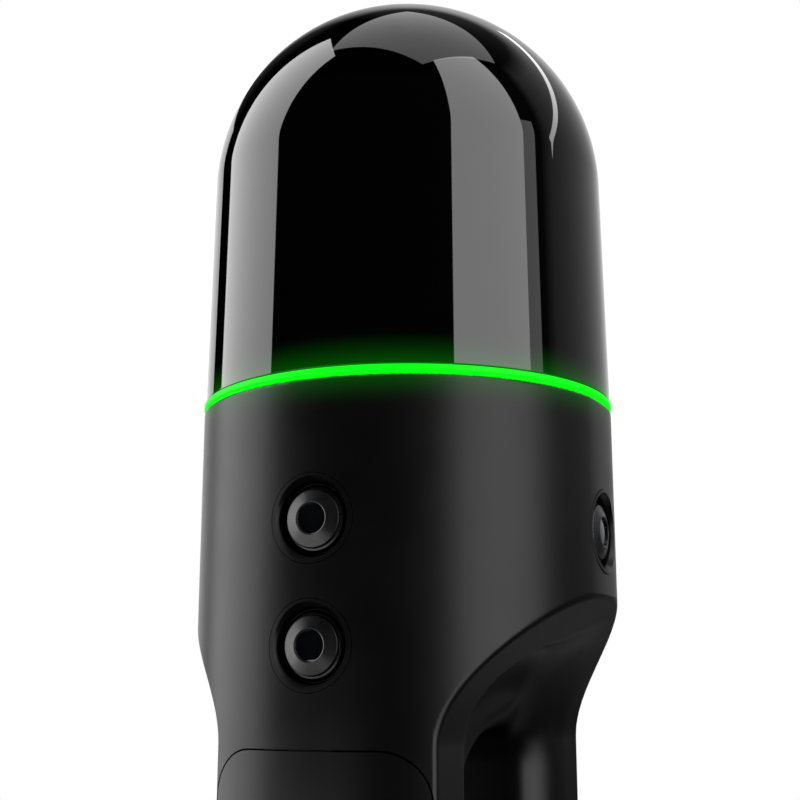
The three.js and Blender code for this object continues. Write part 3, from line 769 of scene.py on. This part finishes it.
def shell(name, inner, outer, low, high):
    """A tube about Z with fine facets."""
    return turned(name, [(inner, low), (outer, low), (outer, high), (inner, high)], 192)


def on_skin(name, outline, inner, outer):
    """A patch of a round shell whose outline, in X and Z, is seen from the front."""
    heights = [p[1] for p in outline]
    patch = prism(name, outline, -OUTSIDE, -20, "Y")
    return keep(patch, shell("limit", inner, outer, min(heights) - 2, max(heights) + 2))


def door_outline(grow=0.0, steps=12):
    return rectangle(
        (DOOR_LOW[0] - grow, DOOR_SILL - grow),
        (DOOR_HIGH[0] + grow, DOOR_HIGH[2] + grow),
        DOOR_CORNER + grow,
        steps,
    )


def seal_patch(name, grow=0.0):
    """The door's gasket, a rounded frame that follows the skin, grown for its groove."""
    low, high = (-SEAL_HALF - grow, SEAL_BOTTOM - grow), (SEAL_HALF + grow, SEAL_TOP + grow)
    outer = rectangle(low, high, SEAL_CORNER, 8)
    inset = SEAL_WIDTH + 2 * grow
    low, high = (low[0] + inset, low[1] + inset), (high[0] - inset, high[1] - inset)
    inner = rectangle(low, high, SEAL_INNER_CORNER, 8)
    ring = on_skin(name, outer, SEAL_INNER - grow, SEAL_OUTER + grow)
    return cut(ring, prism("hole", inner, -50, -10, "Y"))


def within(thing, radius):
    return keep(thing, rod("limit", radius, 0, 200, segments=192))


def cavities():
    """What is hollow: the chamber with its neck, the rear column and the base."""
    return [
        rod("chamber", CHAMBER_RADIUS, CHAMBER_FLOOR, HOUSING_TOP + 5, segments=128),
        within(block("chamber_floor", (-28, -32.5, 151), (28, 32.5, CHAMBER_FLOOR + 1)), 36.2),
        block("neck", (-14.5, -33, 137.5), (14.5, 33, 152)),
        rod("deck_seat", DECK_SEAT_RADIUS, DECK_SEAT_LEVEL, HOUSING_TOP + 5, segments=128),
        within(block("rear_column", (-COLUMN_HALF, 20.5, 5), (COLUMN_HALF, 38, 140.5)), 37),
        within(block("base_room", (-COLUMN_HALF, -22, 5), (COLUMN_HALF, 38, 44)), 36.8),
    ]


def door_cuts():
    """The door's opening, its hinge notch, the battery bay and what opens off it."""
    wide = LATCH_HIGH[0] + 0.4
    usb_low = (USB_LOW[0] - GAP, USB_LOW[1] - GAP, 126.5)
    notch_low = (-LUG_OUTER - GAP, -OUTSIDE, NOTCH_BOTTOM)
    return [
        on_skin("opening", door_outline(GAP), DOOR_INNER - GAP, RADIUS + 5),
        block("notch", notch_low, (LUG_OUTER + GAP, -35.5, DOOR_SILL + GAP)),
        block("bay", BAY_LOW, BAY_HIGH),
        seal_patch("seal_groove", GAP),
        block("latch_pocket", (-wide, LATCH_LOW[1] + 0.9, 131), (wide, -37.3, 136.5)),
        block("usb_room", usb_low, (USB_HIGH[0] + GAP, -28.1, 134.8)),
    ]


def camera_axis(name):
    """Takes +Z to a camera's axis, with the origin on the axis of the housing."""
    height = (extent(f"{name}_bezel")[0][2] + extent(f"{name}_bezel")[1][2]) / 2
    return outward(CAMERA_AZIMUTH[name], height)


def camera_bore(name):
    profile = [(0, BORE_FLOOR), (BORE, BORE_FLOOR), (BORE, OUTSIDE), (0, OUTSIDE)]
    return place(turned(name, profile, 96), camera_axis(name))


def button_bore():
    """A room for the button's flange, its shaft and a chamfered mouth."""
    room, shaft, mouth = BUTTON_FLANGE + 0.5, BUTTON_CAP + GAP, 7.6
    profile = [
        (0, BORE_FLOOR), (room, BORE_FLOOR), (room, 37.7), (shaft, 37.7), (shaft, 39.5),
        (mouth, 40.8), (mouth, OUTSIDE), (0, OUTSIDE),
    ]
    return place(turned("button_bore", profile, 96), outward(180, BUTTON_HEIGHT))


def hinge_lugs():
    """Two lugs that carry the ends of the hinge pin."""
    lugs = []
    for low, high in ((LUG_INNER, LUG_OUTER), (-LUG_OUTER, -LUG_INNER)):
        barrel = rod("lug", HINGE_BARREL, low, high, "X", (HINGE_Y, HINGE_Z))
        foot_low, foot_high = HINGE_Z - HINGE_BARREL, HINGE_Z + HINGE_BARREL
        foot = block("foot", (low, HINGE_Y, foot_low), (high, -34.5, foot_high))
        lugs.append(join(barrel, foot))
    return lugs


def screw_places():
    boxes = [extent(f"base_screw_{i}") for i in (1, 2, 3, 4)]
    return [tuple((low + high)[:2] / 2) for low, high in boxes]


def screw_holes():
    return [rod("screw_hole", SCREW_HOLE, 5, 16, "Z", centre) for centre in screw_places()]


def pin_hole(reach):
    return rod("pin_hole", HINGE_PIN + GAP, -reach, reach, "X", (HINGE_Y, HINGE_Z))


def main_housing():
    thing = housing_blank()
    cut(thing, *cavities())
    cut(thing, *door_cuts())
    cut(thing, *[camera_bore(name) for name in CAMERA_AZIMUTH], button_bore())
    join(thing, *hinge_lugs())
    cut(thing, *screw_holes(), pin_hole(LUG_OUTER + GAP))
    smooth_by_field(thing)
    dress(thing, "main_housing", smooth=False)


# ------------------------------------------------------------------ base


def base_cap():
    """A shallow dish with a groove for the foot ring and four counterbored holes."""
    top, bottom = extent("base_cap")[1][2], extent("base_cap")[0][2]
    groove = extent("foot_ring")[1][0] + GAP
    dish, roof = 4.4, 2.3  # levels of the dish's floor and of the groove's roof
    profile = rounded(
        [
            (0, dish), (19, dish), (19, top), (29, top), (29, dish), (35.5, dish), (35.5, top),
            (RADIUS, top), (RADIUS, bottom), (groove, bottom), (groove, roof), (27.5, roof),
            (27.5, bottom), (0, bottom),
        ],
        [0, 0.3, 0.2, 0.2, 0.3, 0.3, 0.2, 0.35, 1.8, 0.2, 0.2, 0.2, 0.2, 0],
    )
    thing = turned("base_cap", profile, 192)
    cut(thing, *[rod("head", SCREW_HEAD, -1, 3.5, "Z", centre) for centre in screw_places()])
    cut(thing, *[rod("shank", SCREW_HOLE, -1, 10, "Z", centre) for centre in screw_places()])
    dress(thing, "base_cap")


def foot_ring():
    """A rubber ring with two grip grooves in its underside."""
    low, high = extent("foot_ring")
    inner, outer = 27.8, high[0]
    points = [(inner, low[2]), (outer, low[2]), (outer, high[2]), (inner, high[2])]
    thing = turned("foot_ring", rounded(points, [0.5, 0.5, 0.2, 0.2]), 192)
    for radius in (30.4, 33.0):
        cut(thing, shell("groove", radius, radius + 0.8, low[2] - 1, low[2] + 0.5))
    dress(thing, "foot_ring")


# ------------------------------------------------------------------ dome and ring


def dome():
    """The scan head's window: a slightly tapered wall, closed by a flattened cap."""
    wall, shoulder, straight = 2.5, DOME_RADIUS - 0.65, 44.7
    top_of_wall = DOME_BOTTOM + straight
    foot = RING_TOP + 0.05

    def outline(inset, rows):
        rise = DOME_TOP - top_of_wall - inset
        angles = np.linspace(0, math.pi / 2, rows)
        cap = [((shoulder - inset) * math.sin(a), top_of_wall + rise * math.cos(a)) for a in angles]
        return cap + [(DOME_RADIUS - inset, foot)]

    outer = outline(0, 49)
    edge = [(DOME_RADIUS, foot + 0.15), (DOME_RADIUS - 0.15, foot)]
    thing = turned("dome", outer[:-1] + edge + outline(wall, 25)[::-1], 192)
    dress(thing, "dome", angle=50)


def light_ring():
    """A ring whose lit edge is narrowed by a step below and above."""
    inner, edge = 37.6, 39.2
    low, high = RING_BOTTOM + 0.25, RING_TOP - 0.15
    points = [
        (inner, RING_BOTTOM), (edge, RING_BOTTOM), (edge, low), (RING_RADIUS, low),
        (RING_RADIUS, high), (edge, high), (edge, RING_TOP), (inner, RING_TOP),
    ]
    thing = turned("light_ring", rounded(points, [0.1, 0.1, 0.05, 0.3, 0.3, 0.05, 0.1, 0.1]), 192)
    dress(thing, "light_ring")


# ------------------------------------------------------------------ cameras


def camera_parts(name):
    """Bezel with its lip, barrel with its stepped front ring, and domed lens."""
    matrix = camera_axis(name)
    lens, lens_back, lens_edge, lens_front = 2.6, 37.4, 39.1, 39.3
    bezel = rounded(
        [
            (5.9, 33), (7.7, 33), (7.7, 42), (7.4, 40.3), (6.45, 38.8), (6.4, 35.5), (6.15, 35.5),
            (6.1, 37.8), (5.9, 37.8),
        ],
        [0, 0.1, 0, 1.2, 0.7, 0.05, 0.05, 0.08, 0.08],
    )
    barrel = rounded(
        [
            (0, 28), (5.5, 28), (5.5, 38.2), (5.05, 38.3), (4.95, 38.9), (2.85, 39.6),
            (2.65, 39.5), (2.65, 37.2), (0, 37.2),
        ],
        [0, 0.2, 0.15, 0.1, 0.15, 0.15, 0.08, 0.1, 0],
    )
    angles = np.linspace(0, math.pi / 2, 17)
    bulge = lens_front - lens_edge
    front = [(lens * math.sin(a), lens_edge + bulge * math.cos(a) ** 2) for a in angles[::-1]]
    glass = [(0, lens_back), (lens, lens_back)] + front[:-1] + [(0, lens_front)]
    for part, profile, segments in (("bezel", bezel, 96), ("barrel", barrel, 96), ("glass", glass, 64)):
        node = f"{name}_{part}"
        thing = place(turned(node, profile, segments), matrix)
        dress(within(thing, RADIUS) if part == "bezel" else thing, node)


# ------------------------------------------------------------------ battery door


def battery_door():
    """A curved panel with a channel for the latch, a window for its tab and a hinge knuckle."""
    thing = on_skin("battery_door", door_outline(), DOOR_INNER, RADIUS)
    reach = LUG_INNER - GAP
    knuckle = rod("knuckle", HINGE_BARREL, -reach, reach, "X", (HINGE_Y, HINGE_Z))
    leaf_high = (reach, HINGE_Y + 0.4, DOOR_SILL + 1.5)
    join(thing, knuckle, block("leaf", (-reach, HINGE_Y - 1.5, HINGE_Z), leaf_high))
    room = LATCH_TRAVEL + GAP
    channel_low = (LATCH_LOW[0] - GAP, -39, LATCH_LOW[2] - room)
    window_low = (-TAB_HALF - GAP, -OUTSIDE, TAB_BOTTOM - room)
    cut(
        thing,
        pin_hole(9),
        block("channel", channel_low, (LATCH_HIGH[0] + GAP, -30, DOOR_HIGH[2] + 2)),
        block("window", window_low, (TAB_HALF + GAP, -30, TAB_TOP + GAP)),
    )
    soften(thing, 0.18)
    dress(thing, "battery_door")


def door_latch():
    """A sliding tab with grip ridges, and the tongue that it draws out of the housing."""
    tab = block("door_latch", (-TAB_HALF, -OUTSIDE, TAB_BOTTOM), (TAB_HALF, -38.3, TAB_TOP))
    within(tab, RADIUS - 0.1)
    for row in range(5):
        level = TAB_BOTTOM + 1.3 + 1.2 * row
        cut(tab, block("ridge", (-5, -OUTSIDE, level), (5, -39.45, level + 0.5)))
    join(tab, block("tongue", (-4, -38.7, LATCH_LOW[2]), (4, -37.6, LATCH_HIGH[2])))
    soften(tab, 0.12)
    dress(tab, "door_latch")


def hinge_pin():
    reach = extent("hinge_pin")[1][0]
    thing = rod("hinge_pin", HINGE_PIN, -reach, reach, "X", (HINGE_Y, HINGE_Z), 48)
    soften(thing, 0.15)
    dress(thing, "hinge_pin")


def door_seal():
    thing = seal_patch("door_seal")
    soften(thing, 0.12)
    dress(thing, "door_seal")


# ------------------------------------------------------------------ battery bay


def battery_pack():
    """Two case halves with a seam, ribs to pull it by, and recessed end contacts."""
    low, high = extent("battery_pack")
    thing = block("battery_pack", low, high, 3.0)
    middle = (low[1] + high[1]) / 2
    seam = prism("seam", rectangle(low[:2] - 1, high[:2] + 1), high[2] - 8.3, high[2] - 8.0)
    core = prism("core", rectangle(low[:2] + 0.25, high[:2] - 0.25, 2.8), high[2] - 9, high[2] - 7)
    cut(thing, cut(seam, core))
    for row in range(7):
        level = low[2] + 8 + 1.8 * row
        cut(thing, block("rib", (-9, low[1] - 1, level), (9, low[1] + 0.4, level + 0.9)))
    for column in (-6, -2, 2, 6):
        deep = (column - 1, middle - 3, high[2] - 0.6)
        cut(thing, block("contact", deep, (column + 1, middle + 3, high[2] + 1)))
    soften(thing, 0.25)
    dress(thing, "battery_pack")


def battery_catch():
    """A plate with a lip over the battery's front edge, ribbed for a fingertip."""
    half, front = 4.0, -35.6
    thing = block("battery_catch", (-half, front, 121.4), (half, -26, 122.6))
    join(thing, block("lip", (-half, front, 117), (half, -34.3, 122)))
    for row in range(3):
        level = 118 + 1.1 * row
        cut(thing, block("ridge", (-5, -37, level), (5, -35.3, level + 0.5)))
    soften(thing, 0.12)
    dress(thing, "battery_catch")


def battery_contacts():
    """A block of four spring blades in a carrier."""
    low, high = extent("battery_contacts")
    thing = block("battery_contacts", low, high)
    for column in (-6, -2, 2):
        space_low = (column + 1.2, low[1] - 1, low[2] - 1)
        cut(thing, block("space", space_low, (column + 2.8, high[1] + 1, high[2] - 2)))
    soften(thing, 0.15)
    dress(thing, "battery_contacts")


def usb_port():
    """A drawn oval shell with a tongue inside."""
    low, high = USB_LOW, USB_HIGH
    thing = block("usb_port", low, high, 1.2)
    mouth = block("mouth", low + 0.5, (high[0] - 0.5, high[1] - 0.5, high[2] - 1), 0.9)
    cut(thing, place(mouth, Matrix.Translation((0, 0, -2 * MM))))
    middle = (low[1] + high[1]) / 2
    tongue_low = (low[0] + 1.6, middle - 0.35, low[2] + 0.6)
    join(thing, block("tongue", tongue_low, (high[0] - 1.6, middle + 0.35, high[2] - 0.5)))
    soften(thing, 0.1)
    dress(thing, "usb_port")


# ------------------------------------------------------------------ power button


def power_button():
    """A round cap with a dished face and a raised rim."""
    profile = rounded(
        [
            (0, 35.4), (BUTTON_FLANGE, 35.4), (BUTTON_FLANGE, 36.4), (BUTTON_CAP, 36.4),
            (BUTTON_CAP, 39.9), (5.0, 39.9), (4.3, 39.45), (0, 39.2),
        ],
        [0, 0.15, 0.15, 0.15, 0.45, 0.3, 0.4, 0],
    )
    thing = place(turned("power_button", profile, 96), outward(180, BUTTON_HEIGHT))
    dress(thing, "power_button")


def button_seal():
    points = [(6.35, 36.75), (7.3, 36.75), (7.3, 37.4), (6.35, 37.4)]
    thing = turned("button_seal", rounded(points, 0.25), 96)
    dress(place(thing, outward(180, BUTTON_HEIGHT)), "button_seal")


# ------------------------------------------------------------------ studio

CAMERA_FROM = 24.5  # azimuth of the camera
CAMERA_DISTANCE = 259.5
CAMERA_BELOW_RING = 55.0
CAMERA_PITCH = 12.63
CAMERA_ASIDE = 0.336  # the axis stands this far right of the picture's middle
LENS = 59.85


def direction(azimuth, elevation):
    """A unit vector; the azimuth is seen from the camera, positive to its right."""
    turn, rise = math.radians(CAMERA_FROM + azimuth), math.radians(elevation)
    return Vector((math.sin(turn) * math.cos(rise), -math.cos(turn) * math.cos(rise), math.sin(rise)))


def camera():
    data = bpy.data.cameras.new("camera")
    data.lens = LENS
    data.sensor_width = 36
    data.clip_start = 0.01
    thing = put("camera", data)
    ring = (RING_BOTTOM + RING_TOP) / 2
    thing.location = direction(0, 0) * CAMERA_DISTANCE * MM
    thing.location.z = (ring - CAMERA_BELOW_RING) * MM
    thing.rotation_euler = (
        math.radians(90 + CAMERA_PITCH), 0, math.radians(CAMERA_FROM + CAMERA_ASIDE)
    )
    bpy.context.scene.camera = thing


def softbox(name, azimuth, elevation, distance, width, height, radiance):
    """A rectangular light, in metres, that faces the scanner."""
    data = bpy.data.lights.new(name, "AREA")
    data.shape = "RECTANGLE"
    data.size, data.size_y = width, height
    data.energy = radiance * math.pi * width * height
    thing = put(name, data)
    back = direction(azimuth, elevation)
    thing.location = back * distance + Vector((0, 0, DOME_BOTTOM * MM))
    thing.rotation_euler = back.to_track_quat("Z", "Y").to_euler()
    thing.visible_camera = False
    return thing


def wall(name, first, last, low, high, radiance, distance=2.0):
    """An upright softbox that fills a range of azimuths and elevations."""
    width = 2 * distance * math.tan(math.radians(last - first) / 2)
    bottom, top = (distance * math.tan(math.radians(e)) for e in (low, high))
    middle = (first + last) / 2
    thing = softbox(name, middle, 0, distance, width, top - bottom, radiance)
    thing.location.z += (top + bottom) / 2


def slanted(name, first, last, width, radiance):
    """A straight strip of light between two places, by azimuth, elevation and distance."""
    start, end = (direction(*spot[:2]) * spot[2] for spot in (first, last))
    thing = softbox(name, 0, 0, 1, (end - start).length, width, radiance)
    along, back = (end - start).normalized(), (start + end).normalized()
    axes = Matrix((along, back.cross(along), back)).transposed()
    thing.rotation_euler = axes.to_euler()
    thing.location = (start + end) / 2 + Vector((0, 0, DOME_BOTTOM * MM))


def lights():
    """Two tall walls, a ceiling, a strip behind to the right and a low light in front."""
    wall("left_wall", -127, -80, -20, 66, 3.6)
    wall("right_wall", 25, 70.5, -20, 66, 3.95)
    wall("right_edge", 70.5, 79, -20, 31, 1.2)
    wall("backdrop", -180, -141, -20, 32, 1.25, 2.3)
    slanted("ceiling", (-140, 70, 3.012), (51, 65, 3.123), 1.92, 1.3)
    slanted("strip", (92, 25.5, 2.0), (158, 48, 2.0), 0.085, 3.6)
    wall("low_front", -78, -25, -34, -21, 2.2, 0.26)


WALLS = (  # azimuth from the camera, grey level
    (-180, 0.75), (-172, 0.5), (-160, 0.04), (-139, 0.0), (84, 0.02), (92, 0.19), (122, 0.36),
    (142, 0.53), (158, 0.8), (180, 0.75),
)
LEVELS = (  # elevation, share of the wall's grey
    (-90, 0.5), (-40, 0.5), (-24, 0.17), (-4, 0.17), (9, 1.0), (50, 1.0), (57, 0.1), (90, 0.1),
)


def greys(tree, value, reach, levels):
    """Greys along a value that runs from -reach to reach, by its share of the way."""
    share, ramp = tree.nodes.new("ShaderNodeMapRange"), tree.nodes.new("ShaderNodeValToRGB")
    share.inputs["From Min"].default_value = -reach
    share.inputs["From Max"].default_value = reach
    tree.links.new(value, share.inputs["Value"])
    tree.links.new(share.outputs["Result"], ramp.inputs["Fac"])
    stops = ramp.color_ramp.elements
    while len(stops) < len(levels):
        stops.new(0.5)
    for stop, (position, grey) in zip(stops, levels):
        stop.position = position
        stop.color = (grey, grey, grey, 1)
    return ramp.outputs["Color"]


def world():
    """A pale backdrop for the camera, and darker studio walls for what the scanner reflects."""
    made = bpy.data.worlds.new("studio")
    bpy.context.scene.world = made
    made.use_nodes = True
    tree = made.node_tree
    node, link = tree.nodes.new, tree.links.new
    turn = node("ShaderNodeVectorRotate")
    turn.rotation_type = "Z_AXIS"
    turn.inputs["Angle"].default_value = -math.radians(CAMERA_FROM)
    link(node("ShaderNodeTexCoord").outputs["Generated"], turn.inputs["Vector"])
    split = node("ShaderNodeSeparateXYZ")
    link(turn.outputs[0], split.inputs[0])
    toward, azimuth = node("ShaderNodeMath"), node("ShaderNodeMath")
    toward.operation, azimuth.operation = "MULTIPLY", "ARCTAN2"
    toward.inputs[1].default_value = -1
    link(split.outputs["Y"], toward.inputs[0])
    link(split.outputs["X"], azimuth.inputs[0])
    link(toward.outputs[0], azimuth.inputs[1])
    around = greys(tree, azimuth.outputs[0], math.pi, [((a + 180) / 360, g) for a, g in WALLS])
    rise = [(math.sin(math.radians(e)) / 2 + 0.5, g) for e, g in LEVELS]
    upward = greys(tree, split.outputs["Z"], 1, rise)
    pale, walls = tree.nodes["Background"], node("ShaderNodeBackground")
    pale.inputs["Color"].default_value = (1, 1, 1, 1)
    link(around, walls.inputs["Color"])
    link(upward, walls.inputs["Strength"])
    pick = node("ShaderNodeMixShader")
    link(node("ShaderNodeLightPath").outputs["Is Camera Ray"], pick.inputs["Fac"])
    link(walls.outputs[0], pick.inputs[1])
    link(pale.outputs[0], pick.inputs[2])
    link(pick.outputs[0], tree.nodes["World Output"].inputs["Surface"])


def floor():
    """A pale, matt disc, faintly mottled."""
    thing = turned("floor", [(0, -4), (1500, -4), (1500, -0.02), (0, -0.02)], 128)
    look = Finish("pale_floor", (0.85, 0.85, 0.85), 0.6)
    look.colors(look.noise(60, 3), (0.84, 0.84, 0.84), (0.87, 0.87, 0.87))
    thing.data.materials.append(look.material)
    thing.visible_glossy = False


# ------------------------------------------------------------------ assembly

camera()
world()
lights()
floor()

main_housing()
base_cap()
foot_ring()
dome()
light_ring()
for camera_name in CAMERA_AZIMUTH:
    camera_parts(camera_name)
battery_door()
door_latch()
hinge_pin()
door_seal()
battery_pack()
battery_catch()
battery_contacts()
usb_port()
power_button()
button_seal()

for node, thing in frame["nodes"].items():
    thing.data.materials.clear()
    thing.data.materials.append(finish_of(node))

bpy.context.scene.view_settings.view_transform = "Standard"
